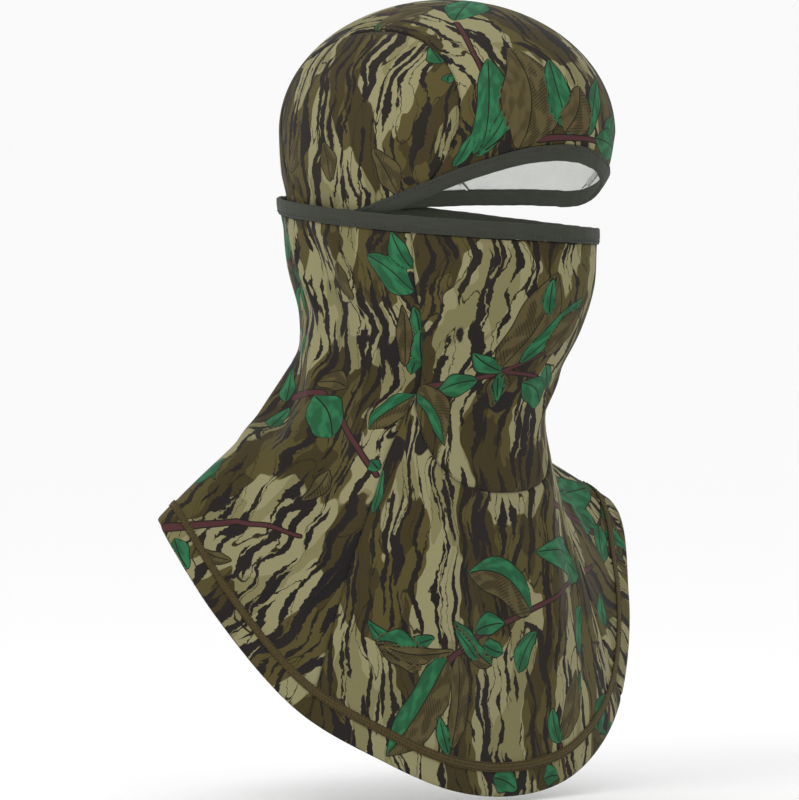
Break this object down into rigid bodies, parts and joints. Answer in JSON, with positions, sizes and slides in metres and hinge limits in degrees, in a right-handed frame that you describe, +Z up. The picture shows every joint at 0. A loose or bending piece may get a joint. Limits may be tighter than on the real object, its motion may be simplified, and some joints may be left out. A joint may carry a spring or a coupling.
{
  "type": "balaclava face mask",
  "caption": "Stretch-knit balaclava with a lined skull cap over a pull-down face mask, neck tube and long rounded bib, with an open eye slot.",
  "frame": {"origin": "middle of the wearer's head at ear height, inside the mask, where the head holds it", "axes": "+Z up to the crown, the face looks along -Y, +X to the wearer's left"},
  "size_m": [0.34, 0.2212, 0.4201],
  "materials": {
    "camo_knit": "smooth printed stretch knit, brushed inside",
    "binding_elastic": "folded elastic tape",
    "olive_thread": "textured sewing thread",
    "overlock_thread": "overlocked seam edge"
  },
  "bodies": {
    "neck_bib": {"face_panel": "camo_knit", "front_bib_panel": "camo_knit", "side_back_panel_right": "camo_knit", "side_back_panel_left": "camo_knit", "cheek_seam_right": "overlock_thread", "cheek_seam_left": "overlock_thread", "chin_seam": "overlock_thread", "bib_seam_right": "overlock_thread", "bib_seam_left": "overlock_thread", "centre_back_seam": "overlock_thread", "bib_hem_turnup": "camo_knit", "hem_coverstitch": "olive_thread", "back_join": "olive_thread"},
    "mask_rim": {"mask_binding": "binding_elastic", "mask_binding_stitch": "olive_thread"},
    "cap": {"crown_centre_panel": "camo_knit", "crown_side_panel_right": "camo_knit", "crown_side_panel_left": "camo_knit", "crown_seam_right": "overlock_thread", "crown_seam_left": "overlock_thread", "cap_binding": "binding_elastic", "cap_binding_stitch": "olive_thread"}
  },
  "joints": [
    {"name": "mask_pull_down", "type": "hinge", "parent": "neck_bib", "child": "mask_rim", "pos_m": [0, 0.0955, 0.014], "axis": [1, 0, 0], "range_deg": [0, 16], "deforming": ["face_panel", "side_back_panel_right", "side_back_panel_left", "cheek_seam_right", "cheek_seam_left", "centre_back_seam"]},
    {"name": "cap_push_back", "type": "hinge", "parent": "neck_bib", "child": "cap", "pos_m": [0, 0.0955, 0.014], "axis": [-1, 0, 0], "range_deg": [0, 85]}
  ]
}
